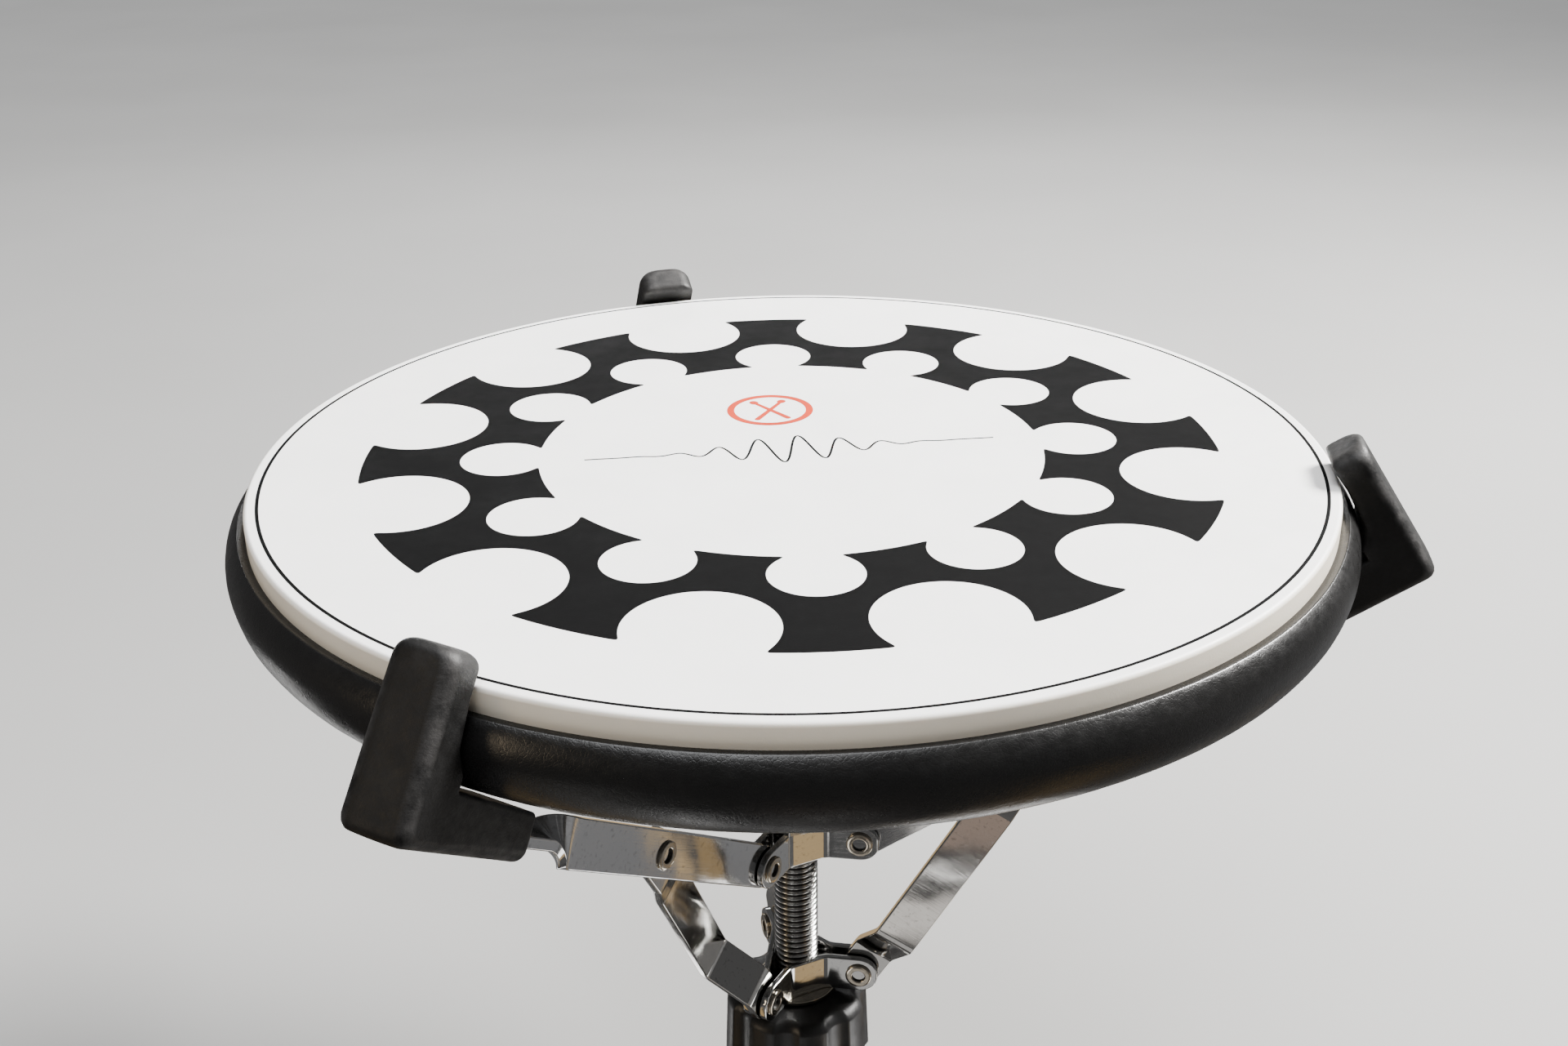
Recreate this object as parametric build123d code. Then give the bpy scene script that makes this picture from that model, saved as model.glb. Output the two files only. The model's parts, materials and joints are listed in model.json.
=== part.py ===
from build123d import *
from math import atan2, cos, degrees, hypot, radians, sin
import os

# A round drum practice pad held in a three-armed folding basket.
# Millimetres. +Z is up the threaded rod, and +X points along arm 1.
# The origin is on the rod's axis, at the upper end of the plain stem that fits into a stand.

# Pad: a white silicone surface on a board, inside a black rubber moulding
PAD_TOP = 230.0  # height of the playing surface above the origin
SURFACE_R = 146.2
SURFACE_THICK = 9.0
SURFACE_EDGE = 1.2  # rounding of the playing surface's rim
RIM_R = 152.4  # a 12 inch pad
RIM_WAIST = 14.2  # depth of the rim's widest line below the playing surface
SHOULDER_RISE = 11.2  # upper half-height of the rim's elliptical section
SHOULDER_TURN = 50.0  # how far up that ellipse the shoulder goes
LEDGE_R, LEDGE_DEPTH = 147.6, 6.3  # the narrow ledge round the white surface
BASE_DEPTH = 27.6  # depth of the underside below the playing surface
UNDERSIDE_R = 141.0
CORE_R = 136.0
CORE_THICK = 12.0  # the board that carries the surface
MAT_INNER_R, MAT_OUTER_R = 58.0, 128.0
MAT_THICK, MAT_INSET = 2.6, 1.3

# Threaded rod, its stem and the parts that run on it
THREAD_R = 6.85
STEM_R = 7.0
STEM_LENGTH = 30.0
NECK_R = 5.9
NECK_LENGTH = 2.5
ROD_TOP = 120.5
ROD_CHAMFER = 1.0
RUNNING_FIT = 0.08
NUT_ACROSS_FLATS = 21.0
NUT_LENGTH = 7.5
NUT_CROWN_R, NUT_CHAMFER = 11.45, 1.2
WASHER_R = 12.6
WASHER_THICK = 1.6

# Hubs: three bent strips round the rod, and each strip makes one ear of two clevises
ARM_AZIMUTHS = (0.0, 116.0, 248.8)
UPPER_PIN_Z = PAD_TOP - 126.7
LOWER_PIN_Z = PAD_TOP - 176.4
HUB_PIN_RADIUS = 20.3  # distance of the hub pins from the rod's axis
STRIP_THICK = 2.1
EAR_HEIGHT = 12.0
EAR_GAP = 3.8

# Arms and links, drawn in the plane through the rod's axis
ARM_WIDTH, ARM_THICK = 13.0, 3.0
LINK_WIDTH, LINK_THICK = 13.0, 2.5
LINK_PIN_RADIUS, LINK_PIN_Z = 71.0, PAD_TOP - 91.0
ARM_LINK_GAP = 0.4
LINK_BOW = 10.4  # how far a link stands out sideways near its hub
LINK_NEAR = 5.6  # how far it still stands out where it turns in beside its arm
LINK_BOW_START, LINK_BOW_OUT = 9.5, 23.0  # along the link, from its lower pin
LINK_BOW_BACK, LINK_BOW_END = 78.0, 86.0
LINK_BEND_R = 4.0
TWIST_START, TWIST_END = 106.0, 126.0
CLAW_REACH, CLAW_RISE, CLAW_BEND_R = 179.5, 30.0, 5.0
CLAW_LEVEL, CLAW_LIFT = 142.0, 2.0  # where the claw starts to rise in the grip, and by how much

# Pins: hollow rivets
PIN_R = 3.0
PIN_BORE_R = 2.1
PIN_HEAD_R, PIN_HEAD_THICK = 4.1, 0.9
PIN_FAR_HEAD_R = 4.6
PIN_PLAY = 0.05  # arm and link pivots that turn on their pin
PIN_CUT = 9.0  # how far a pin hole's cutter reaches to each side
OPEN_PLAY = 0.6  # the link's upper hole, which is open to one side

# Rubber grips, outlined by radius and by height above the playing surface
GRIP_WIDTH = 19.4
GRIP_LEG_OUTER, GRIP_LEG_INNER = (137.2, -50.0), (131.0, -39.7)  # the end that faces the hub
GRIP_SEAT = (155.0, -20.3)  # the inner corner, below the pad's rim
GRIP_WALL_R, GRIP_WALL_LOW, GRIP_WALL_HIGH = 152.95, -17.5, -11.0  # beside the rim's waist
GRIP_LIP = (147.7, -1.3)  # beside the edge of the playing surface
GRIP_TIP_INNER, GRIP_TIP_OUTER = (142.4, 5.6), (150.6, 11.2)
GRIP_HEEL = (173.6, -23.8)  # the lowest outer corner
GRIP_TIP_ROUND, GRIP_HEEL_ROUND = 2.0, 2.6

# Adjusting knob
KNOB_R, KNOB_HEIGHT, KNOB_LOBES = 23.4, 27.0, 8
FLUTE_R, FLUTE_DEPTH = 7.0, 2.0
KNOB_GAP = 0.3
KNOB_EDGE = 3.0
KNOB_LOBE_ROUND = 2.0
KNOB_BORE_GAP = 0.6  # free space round the rod above and below the insert
INSERT_ACROSS_FLATS, INSERT_LENGTH = 19.0, 12.0

ARM_ANGLE = degrees(atan2(LINK_PIN_Z - UPPER_PIN_Z, LINK_PIN_RADIUS - HUB_PIN_RADIUS))
ARM_TO_PIN = hypot(LINK_PIN_Z - UPPER_PIN_Z, LINK_PIN_RADIUS - HUB_PIN_RADIUS)
LINK_ANGLE = degrees(atan2(LINK_PIN_Z - LOWER_PIN_Z, LINK_PIN_RADIUS - HUB_PIN_RADIUS))
LINK_LENGTH = hypot(LINK_PIN_Z - LOWER_PIN_Z, LINK_PIN_RADIUS - HUB_PIN_RADIUS)
LINK_SIDE = -(ARM_THICK / 2 + ARM_LINK_GAP + LINK_THICK / 2)  # the link's upper end, beside the arm


def ring(outer_r, inner_r, low, high):
    """A plain ring on the rod's axis, or a disc if inner_r is 0."""
    body = Pos(0, 0, low) * extrude(Circle(outer_r), high - low)
    if inner_r:
        body -= Pos(0, 0, low - 1) * extrude(Circle(inner_r), high - low + 2)
    return body


def tilted(shape, angle, pivot_r, pivot_z):
    """Takes a shape drawn along +X from its pivot, tilts it up by angle and puts it at its pivot."""
    return Pos(pivot_r, 0, pivot_z) * Rot(0, -angle, 0) * shape


def across(radius, low, high, x=0.0, z=0.0):
    """A cylinder along Y from low to high, at x and z."""
    return Pos(x, high, z) * Rot(90, 0, 0) * extrude(Circle(radius), high - low)


def side_plate(outline, low, high):
    """A plate with an outline drawn in X and Z, from low to high along Y."""
    return Pos(0, high, 0) * extrude(Plane.XZ * outline, high - low)


def playing_surface():
    disc = ring(SURFACE_R, 0, PAD_TOP - SURFACE_THICK, PAD_TOP)
    return fillet(disc.edges().sort_by(Axis.Z)[-1], SURFACE_EDGE)


def core_board():
    top = PAD_TOP - SURFACE_THICK
    return ring(CORE_R, 0, top - CORE_THICK, top)


def base_moulding():
    """A cup round the board, with a fat rounded rim and a narrow ledge at the white surface."""
    floor_depth = SURFACE_THICK + CORE_THICK
    underside = Polyline((0, -floor_depth), (0, -BASE_DEPTH), (UNDERSIDE_R, -BASE_DEPTH))
    half_width = RIM_R - UNDERSIDE_R
    centre = (UNDERSIDE_R, -RIM_WAIST)
    side = EllipticalCenterArc(centre, half_width, BASE_DEPTH - RIM_WAIST, -90, arc_size=90)
    shoulder = EllipticalCenterArc(centre, half_width, SHOULDER_RISE, 0, arc_size=SHOULDER_TURN)
    pocket = Polyline(
        shoulder @ 1, (LEDGE_R, -LEDGE_DEPTH), (SURFACE_R, -LEDGE_DEPTH),
        (SURFACE_R, -SURFACE_THICK), (CORE_R, -SURFACE_THICK), (CORE_R, -floor_depth),
        (0, -floor_depth))
    section = Plane.XZ * make_face(underside + side + shoulder + pocket)
    body = Pos(0, 0, PAD_TOP) * revolve(section, Axis.Z)
    mat_low = PAD_TOP - BASE_DEPTH
    return body - ring(MAT_OUTER_R, MAT_INNER_R, mat_low - 1, mat_low + MAT_INSET)


def underside_mat():
    top = PAD_TOP - BASE_DEPTH + MAT_INSET
    return ring(MAT_OUTER_R, MAT_INNER_R, top - MAT_THICK, top)


def threaded_rod():
    rod = ring(THREAD_R, 0, NECK_LENGTH, ROD_TOP)
    rod = chamfer(rod.edges().sort_by(Axis.Z)[-1], ROD_CHAMFER)
    stem = ring(STEM_R, 0, -STEM_LENGTH, 0)
    stem = chamfer(stem.edges().sort_by(Axis.Z)[0], ROD_CHAMFER)
    return rod + stem + ring(NECK_R, 0, -1, NECK_LENGTH + 1)


def top_nut():
    base = UPPER_PIN_Z + EAR_HEIGHT / 2
    prism = extrude(RegularPolygon(NUT_ACROSS_FLATS / 2, 6, major_radius=False), NUT_LENGTH)
    nut = Pos(0, 0, base) * prism
    crown = ring(NUT_CROWN_R, 0, base, base + NUT_LENGTH)
    nut = nut & chamfer(crown.edges().group_by(Axis.Z)[-1], NUT_CHAMFER)
    return nut - ring(THREAD_R, 0, base - 1, base + NUT_LENGTH + 1)


def ear(side):
    """One ear of a clevis along +X, on the side of the arm that side gives (+1 or -1)."""
    half = EAR_HEIGHT / 2
    inner = EAR_GAP / 2
    outline = Pos(HUB_PIN_RADIUS / 2, 0) * Rectangle(HUB_PIN_RADIUS, EAR_HEIGHT)
    outline += Pos(HUB_PIN_RADIUS, 0) * Circle(half)
    low, high = sorted((side * inner, side * (inner + STRIP_THICK)))
    return side_plate(outline, low, high)


def bracket(pin_z, bore_r, first, second):
    """A strip bent round the rod from the clevis at azimuth first to the one at second."""
    outer_r = bore_r + STRIP_THICK
    middle_angle = (first + second) / 2
    span = (second - first) / 2 - degrees(atan2(EAR_GAP / 2 + STRIP_THICK / 2, outer_r))
    half = EAR_HEIGHT / 2
    wedge_r = outer_r * 3
    edge = [(wedge_r * cos(radians(span * k / 2)), wedge_r * sin(radians(span * k / 2)))
            for k in (-2, -1, 0, 1, 2)]
    wedge = extrude(make_face(Polyline((0, 0), *edge, (0, 0))), EAR_HEIGHT)
    arc = ring(outer_r, 0, 0, EAR_HEIGHT) & wedge
    body = Rot(0, 0, middle_angle) * Pos(0, 0, -half) * arc
    body += Rot(0, 0, first) * ear(1)
    body += Rot(0, 0, second) * ear(-1)
    body -= ring(bore_r, 0, -EAR_HEIGHT, EAR_HEIGHT)
    for azimuth in (first, second):
        body -= Rot(0, 0, azimuth) * across(PIN_R, -PIN_CUT, PIN_CUT, x=HUB_PIN_RADIUS)
    return Pos(0, 0, pin_z) * body


def rivet(low, high, far_head_r=PIN_HEAD_R):
    """A hollow rivet along Y, whose heads lie outside low and high."""
    body = across(PIN_R, low, high)
    body += across(PIN_HEAD_R, high, high + PIN_HEAD_THICK)
    body += across(far_head_r, low - PIN_HEAD_THICK, low)
    return body - across(PIN_BORE_R, low - PIN_CUT, high + PIN_CUT)


def hub_pins(pin_z):
    """The three rivets of one hub, through both ears of each clevis."""
    outer = EAR_GAP / 2 + STRIP_THICK
    pin = Pos(HUB_PIN_RADIUS, 0, pin_z) * rivet(-outer, outer)
    return Compound([Rot(0, 0, azimuth) * pin for azimuth in ARM_AZIMUTHS])


def claw():
    """The flat end of an arm: it runs out along the arm and turns up inside the grip."""
    line = FilletPolyline(
        (TWIST_END, 0), (CLAW_LEVEL, 0), (CLAW_REACH, CLAW_LIFT), (CLAW_REACH, CLAW_RISE),
        radius=CLAW_BEND_R)
    outline = trace(line, ARM_THICK)
    return side_plate(outline, -ARM_WIDTH / 2, ARM_WIDTH / 2)


def twist():
    """The stretch where an arm turns from standing on edge to lying flat."""
    steps = 4
    sections = []
    for k in range(steps + 1):
        turned = radians(90 * k / steps)
        place = Plane(
            origin=(TWIST_START + (TWIST_END - TWIST_START) * k / steps, 0, 0),
            x_dir=(0, cos(turned), sin(turned)), z_dir=(1, 0, 0))
        sections.append(place * Rectangle(ARM_THICK, ARM_WIDTH))
    return loft(sections)


def arm():
    outline = Pos(TWIST_START / 2, 0) * Rectangle(TWIST_START, ARM_WIDTH)
    outline += Circle(ARM_WIDTH / 2)
    blade = side_plate(outline, -ARM_THICK / 2, ARM_THICK / 2)
    blade -= across(PIN_R + PIN_PLAY, -PIN_CUT, PIN_CUT)
    blade -= across(PIN_R, -PIN_CUT, PIN_CUT, x=ARM_TO_PIN)
    return tilted(blade + twist() + claw(), ARM_ANGLE, HUB_PIN_RADIUS, UPPER_PIN_Z)


def link_pin():
    """The rivet that an arm carries for its link."""
    far = LINK_SIDE - LINK_THICK / 2 - ARM_LINK_GAP
    pin = rivet(far, ARM_THICK / 2, PIN_FAR_HEAD_R)
    return Pos(LINK_PIN_RADIUS, 0, LINK_PIN_Z) * pin


def link():
    """A strip that runs straight in its clevis, bows out sideways and comes back beside the arm."""
    end = LINK_WIDTH / 2
    path = FilletPolyline(
        (-end, 0), (LINK_BOW_START, 0), (LINK_BOW_OUT, -LINK_BOW), (LINK_BOW_BACK, -LINK_NEAR),
        (LINK_BOW_END, LINK_SIDE), (LINK_LENGTH + end, LINK_SIDE), radius=LINK_BEND_R)
    strip = Pos(0, 0, -end) * extrude(trace(path, LINK_THICK), LINK_WIDTH)
    outline = Pos(LINK_LENGTH / 2, 0) * SlotCenterToCenter(LINK_LENGTH, LINK_WIDTH)
    strip = strip & side_plate(outline, -LINK_BOW * 2, LINK_BOW)
    strip -= across(PIN_R + PIN_PLAY, -PIN_CUT, PIN_CUT)
    strip -= across(PIN_R + OPEN_PLAY, -PIN_CUT, PIN_CUT, x=LINK_LENGTH)
    return tilted(strip, LINK_ANGLE, HUB_PIN_RADIUS, LOWER_PIN_Z)


def grip():
    """A rubber boot over the claw, which takes the pad's rim in its open corner."""
    outline = make_face(Polyline(
        GRIP_LEG_OUTER, GRIP_LEG_INNER, GRIP_SEAT, (GRIP_WALL_R, GRIP_WALL_LOW),
        (GRIP_WALL_R, GRIP_WALL_HIGH), GRIP_LIP, GRIP_TIP_INNER, GRIP_TIP_OUTER, GRIP_HEEL,
        close=True))
    outline = fillet(outline.vertices().filter_by(lambda v: v.Y > 0), GRIP_TIP_ROUND)
    outline = fillet(outline.vertices().sort_by(Axis.X)[-1], GRIP_HEEL_ROUND)
    body = Pos(0, 0, PAD_TOP) * side_plate(outline, -GRIP_WIDTH / 2, GRIP_WIDTH / 2)
    metal = tilted(claw(), ARM_ANGLE, HUB_PIN_RADIUS, UPPER_PIN_Z)
    return body - metal


def knob():
    top = LOWER_PIN_Z - EAR_HEIGHT / 2 - WASHER_THICK - KNOB_GAP
    outline = Circle(KNOB_R)
    for k in range(KNOB_LOBES):
        turn = Rot(0, 0, 360 * k / KNOB_LOBES)
        outline -= turn * Pos(KNOB_R + FLUTE_R - FLUTE_DEPTH, 0) * Circle(FLUTE_R)
    outline = fillet(outline.vertices(), KNOB_LOBE_ROUND)
    body = extrude(outline, KNOB_HEIGHT)
    body = fillet(body.faces().sort_by(Axis.Z)[-1].edges(), KNOB_EDGE)
    body = fillet(body.faces().sort_by(Axis.Z)[0].edges(), KNOB_EDGE / 2)
    body = Pos(0, 0, top - KNOB_HEIGHT) * body
    body -= ring(THREAD_R + KNOB_BORE_GAP, 0, top - KNOB_HEIGHT - 1, top + 1)
    return body - insert_prism(top)


def insert_prism(knob_top):
    low = knob_top - (KNOB_HEIGHT + INSERT_LENGTH) / 2
    prism = extrude(RegularPolygon(INSERT_ACROSS_FLATS / 2, 6, major_radius=False), INSERT_LENGTH)
    return Pos(0, 0, low) * prism


def knob_insert():
    """The threaded nut moulded into the knob."""
    top = LOWER_PIN_Z - EAR_HEIGHT / 2 - WASHER_THICK - KNOB_GAP
    low = top - KNOB_HEIGHT
    return insert_prism(top) - ring(THREAD_R + RUNNING_FIT, 0, low, top)


def thrust_washer():
    top = LOWER_PIN_Z - EAR_HEIGHT / 2
    return ring(WASHER_R, THREAD_R + RUNNING_FIT, top - WASHER_THICK, top)


def assembly():
    """Every node of the object, by name."""
    nodes = {
        "playing_surface": playing_surface(),
        "core_board": core_board(),
        "base_moulding": base_moulding(),
        "underside_mat": underside_mat(),
        "threaded_rod": threaded_rod(),
        "top_nut": top_nut(),
        "upper_hub_pins": hub_pins(UPPER_PIN_Z),
        "thrust_washer": thrust_washer(),
        "lower_hub_pins": hub_pins(LOWER_PIN_Z),
        "adjusting_knob": knob(),
        "knob_insert": knob_insert(),
    }
    per_arm = {"arm": arm(), "grip": grip(), "link": link(), "link_pin": link_pin()}
    for number, azimuth in enumerate(ARM_AZIMUTHS, 1):
        following = ARM_AZIMUTHS[number % len(ARM_AZIMUTHS)]
        if following <= azimuth:
            following += 360
        nodes[f"upper_bracket_{number}"] = bracket(UPPER_PIN_Z, THREAD_R, azimuth, following)
        sliding_r = THREAD_R + RUNNING_FIT
        nodes[f"lower_bracket_{number}"] = bracket(LOWER_PIN_Z, sliding_r, azimuth, following)
        for name, shape in per_arm.items():
            nodes[f"{name}_{number}"] = Rot(0, 0, azimuth) * shape
    return nodes


os.makedirs("parts", exist_ok=True)
for name, shape in assembly().items():
    shape.label = name
    export_step(shape, f"parts/{name}.step")
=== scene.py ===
import json
from math import atan2, cos, exp, hypot, pi, radians, sin, sqrt, tan

import bpy
from mathutils import Matrix, Vector, noise


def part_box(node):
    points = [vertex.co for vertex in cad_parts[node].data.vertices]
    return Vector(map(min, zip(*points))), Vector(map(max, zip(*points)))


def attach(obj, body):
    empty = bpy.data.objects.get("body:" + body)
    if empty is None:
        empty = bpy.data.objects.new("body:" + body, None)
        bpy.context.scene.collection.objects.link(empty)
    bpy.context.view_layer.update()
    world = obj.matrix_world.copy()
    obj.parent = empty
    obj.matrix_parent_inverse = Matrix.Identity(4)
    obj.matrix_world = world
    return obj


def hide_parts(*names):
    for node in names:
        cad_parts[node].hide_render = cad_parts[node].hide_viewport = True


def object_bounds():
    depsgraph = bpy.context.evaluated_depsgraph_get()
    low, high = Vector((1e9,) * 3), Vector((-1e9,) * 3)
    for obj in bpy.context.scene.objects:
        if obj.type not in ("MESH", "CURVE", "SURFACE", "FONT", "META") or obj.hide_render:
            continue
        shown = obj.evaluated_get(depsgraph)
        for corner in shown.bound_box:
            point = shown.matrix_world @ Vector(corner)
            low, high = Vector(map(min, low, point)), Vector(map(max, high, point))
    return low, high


# The looks of a drum practice pad in its folding basket.
# Lengths are in millimetres until make_piece turns them into metres.
# Radius and height are the two coordinates of a turned profile, and an arm is drawn along +X.

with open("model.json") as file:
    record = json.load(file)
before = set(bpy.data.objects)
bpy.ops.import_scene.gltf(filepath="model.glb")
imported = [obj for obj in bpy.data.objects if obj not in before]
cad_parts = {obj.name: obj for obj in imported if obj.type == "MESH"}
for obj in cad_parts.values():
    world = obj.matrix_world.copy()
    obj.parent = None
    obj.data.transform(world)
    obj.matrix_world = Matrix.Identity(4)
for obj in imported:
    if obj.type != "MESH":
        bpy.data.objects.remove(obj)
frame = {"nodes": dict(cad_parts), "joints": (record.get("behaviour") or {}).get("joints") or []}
cad_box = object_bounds()

MM = 0.001
TURN = 2 * pi


def in_mm(node):
    """Lowest and highest corner of a CAD node, in millimetres."""
    low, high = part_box(node)
    return low / MM, high / MM


def joint_named(name):
    return next(joint for joint in frame["joints"] if joint["name"] == name)


# Places taken from the frame
_, surface_high = in_mm("playing_surface")
base_low, base_high = in_mm("base_moulding")
mat_low, mat_high = in_mm("underside_mat")
rod_low, rod_high = in_mm("threaded_rod")
knob_low, knob_high = in_mm("adjusting_knob")
washer_low, washer_high = in_mm("thrust_washer")
nut_low, nut_high = in_mm("top_nut")
link_pin_low, link_pin_high = in_mm("link_pin_1")

PAD_TOP = surface_high.z
SURFACE_R = surface_high.x
RIM_R = base_high.x
BASE_DEPTH = PAD_TOP - base_low.z
MAT_R = mat_high.x
WASHER_R = washer_high.x
LINK_PIN_R = (link_pin_low.x + link_pin_high.x) / 2
LINK_PIN_Z = (link_pin_low.z + link_pin_high.z) / 2

arm_joints = [joint_named(f"arm_{number}_swing") for number in (1, 2, 3)]
link_joints = [joint_named(f"link_{number}_swing") for number in (1, 2, 3)]
UPPER_PIN_Z = arm_joints[0]["pos_m"][2] / MM
LOWER_PIN_Z = link_joints[0]["pos_m"][2] / MM
HUB_PIN_R = hypot(*arm_joints[0]["pos_m"][:2]) / MM
ARM_AZIMUTHS = [atan2(j["pos_m"][1], j["pos_m"][0]) % TURN for j in arm_joints]

# Pad profile, as radii and as depths below the playing surface
SURFACE_EDGE = 1.2
RIM_WAIST, SHOULDER_RISE, SHOULDER_TURN = 14.2, 11.2, radians(50)
LEDGE_R, LEDGE_DEPTH = 147.6, 6.3
UNDERSIDE_R = 141.0
RIM_SWELLS = ((0.22, 26), (0.05, 4))  # depth and size of the rim's unevenness
RIM_SWELL_FADE, RIM_SHRINK = 2, 0.1
SURFACE_THICK, CORE_R, CORE_THICK = 9.0, 136.0, 12.0
MAT_INNER_R, MAT_CORNER = 58.0, 0.8

# Print on the playing surface
INK_THICK = 0.07
EDGE_LINE_R, EDGE_LINE_WIDTH = 142.7, 0.9
SCALLOPS = 12
FIRST_TOOTH = radians(-77.05)
PRINT_OUTER_R, PRINT_INNER_R = 117.2, 69.4
OUTER_BITE_R, OUTER_BITE_AT = 18.3, 107.6
INNER_BITE_R, INNER_BITE_AT = 11.9, 79.0
TIP_SOFTNESS, OUTLINE_SPACING = 1.0, 0.45
BITE_STEPS, RIM_STEPS = 48, 12
MARK_AT = Vector((-10.8, 29.2))
MARK_R, MARK_LINE = 12.6, 2.1
STICK_LENGTH, STICK_BUTT_R, STICK_TIP_R, STICK_NECK_R = 18.4, 0.85, 1.25, 0.62
STICK_LEAN = radians(32)
PRINT_TURN = radians(15.8)
WAVE_HALF_LENGTH, WAVE_HALF_LINE, WAVE_STEPS = 57.0, 0.33, 400
WAVE_HEIGHT, WAVE_PITCH, WAVE_REACH = 9.5, 11.5, 21

# Rod and hubs
THREAD_R, THREAD_DEPTH, PITCH = 6.85, 1.1, 2.0
THREAD_CREST, THREAD_FLANK = 0.16, 0.6
THREAD_ROWS_PER_PITCH, THREAD_SEGMENTS = 10, 72
STEM_R, NECK_R, NECK_TOP = 7.0, 5.9, 2.5
RUNNING_FIT = 0.08
STRIP_THICK, EAR_HALF_HEIGHT, EAR_GAP = 2.1, 6.0, 3.8
STRIP_BEND_R = 5.0
STRIP_EDGE = 0.45
HUBS = (("upper", UPPER_PIN_Z, "rod"), ("lower", LOWER_PIN_Z, "lower_hub"))
NUT_HALF_FLATS, NUT_CROWN_R = 10.5, 11.45
NUT_MOUTH, NUT_FACE_INSET, NUT_CORNER_OUT, NUT_BEVEL, NUT_FOOT = 0.6, 0.3, 0.7, 0.75, 0.25
KNOB_R, KNOB_BORE_R = 23.4, 7.45
KNOB_LOBES, FLUTE_R, FLUTE_DEPTH = 8, 7.0, 2.0
LOBE_SHOULDER, SHOULDER_AT, SHOULDER_SPREAD = 0.2, 0.86, 0.045
KNOB_TAPER, KNOB_TAPER_HEIGHT = 2.5, 10.0
KNOB_DOME, KNOB_RECESS, KNOB_LAND = 1.2, 7, 1.5
WASHER_EDGE = 0.35

# Arms and links
ARM_HALF_WIDTH, ARM_THICK = 6.5, 3.0
LINK_HALF_WIDTH, LINK_THICK = 6.5, 2.5
ARM_LINK_GAP = 0.4
TWIST_START, TWIST_END, CLAW_HIDDEN_END = 106.0, 126.0, 147.0
LINK_BOW_START, LINK_BOW_OUT, LINK_BOW_BACK, LINK_BOW_END = 9.5, 23.0, 78.0, 86.0
LINK_BOW, LINK_NEAR, LINK_BEND_R = 10.4, 5.6, 4.0
STATION_SPACING, TIP_STEPS, TWIST_STEPS, CLAW_STEPS = 2.0, 12, 22, 5
LINK_SIDE = -(ARM_THICK / 2 + ARM_LINK_GAP + LINK_THICK / 2)
ARM_TILT = atan2(LINK_PIN_Z - UPPER_PIN_Z, LINK_PIN_R - HUB_PIN_R)
LINK_TILT = atan2(LINK_PIN_Z - LOWER_PIN_Z, LINK_PIN_R - HUB_PIN_R)
LINK_LENGTH = hypot(LINK_PIN_Z - LOWER_PIN_Z, LINK_PIN_R - HUB_PIN_R)

# Rivets
PIN_R, PIN_BORE_R, HEAD_R, FAR_HEAD_R, HEAD_THICK = 3.0, 2.1, 4.1, 4.6, 0.9
HEAD_CROWN, CROWN_INSET, CROWN_SHARE = 0.42, 0.12, 0.55
BORE_DEPTH, BORE_LIP = 1.6, 0.25
RIVET_SEGMENTS = 40

# Grips
GRIP_HALF_WIDTH, GRIP_TIP_HALF_WIDTH = 9.7, 8.85
GRIP_LENGTH = 74.0
GRIP_INNER_EDGE, GRIP_OUTER_EDGE = 1.2, 3.6
GRIP_TIP_CORNER, GRIP_END_CORNER = 4.6, 1.2
GRIP_TIP_ROUND, GRIP_END_ROUND = 2.3, 0.9
GRIP_CROWN = 0.35
GRIP_ROWS = 110
TIP_WEAR, TIP_WEAR_REACH = 0.5, 7
INNER_WEAR, SIDE_WEAR, BACK_WEAR = 0.25, 0.05, 0.12
GRIP_LEG_OUTER, GRIP_LEG_INNER = (137.2, -50.0), (131.0, -39.7)
GRIP_SEAT = (155.0, -20.3)
GRIP_WALL_R, GRIP_WALL_LOW, GRIP_WALL_HIGH = 152.95, -17.5, -11.0
GRIP_LIP = (147.7, -1.3)
GRIP_TIP_INNER, GRIP_TIP_OUTER = (142.4, 5.6), (150.6, 11.2)
GRIP_HEEL, GRIP_HEEL_ROUND = (173.6, -23.8), 2.6
GRIP_HEEL_INNER_SHARE, GRIP_HEEL_OUTER_SHARE = 0.51, 0.517


# ---------------- mesh helpers

def rounded(points, closed=False, step=radians(9)):
    """A 2-D outline whose corners, given as (x, y, radius), are arcs."""
    out = []
    count = len(points)
    for k, (x, y, radius) in enumerate(points):
        here = Vector((x, y))
        if radius == 0 or (not closed and k in (0, count - 1)):
            out.append(here)
            continue
        before = (Vector(points[k - 1][:2]) - here).normalized()
        after = (Vector(points[(k + 1) % count][:2]) - here).normalized()
        half = before.angle(after) / 2
        middle = here + (before + after).normalized() * (radius / sin(half))
        start = here + before * (radius / tan(half)) - middle
        sweep = pi - 2 * half
        sign = 1 if start.cross(before) < 0 else -1
        steps = max(2, round(sweep / step))
        for i in range(steps + 1):
            angle = sign * sweep * i / steps
            turned = Vector((start.x * cos(angle) - start.y * sin(angle),
                             start.x * sin(angle) + start.y * cos(angle)))
            out.append(middle + turned)
    return out


def ring_faces(rings, closed=False):
    """Quads and triangles between rings of vertex numbers. Rings are equally long."""
    faces = []
    count = len(rings)
    for k in range(count if closed else count - 1):
        low, high = rings[k], rings[(k + 1) % count]
        for i in range(len(low)):
            n = (i + 1) % len(low)
            corners = [low[i], low[n], high[n], high[i]]
            face = [c for j, c in enumerate(corners) if c != corners[j - 1]]
            if len(face) > 2:
                faces.append(face)
    return faces


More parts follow.
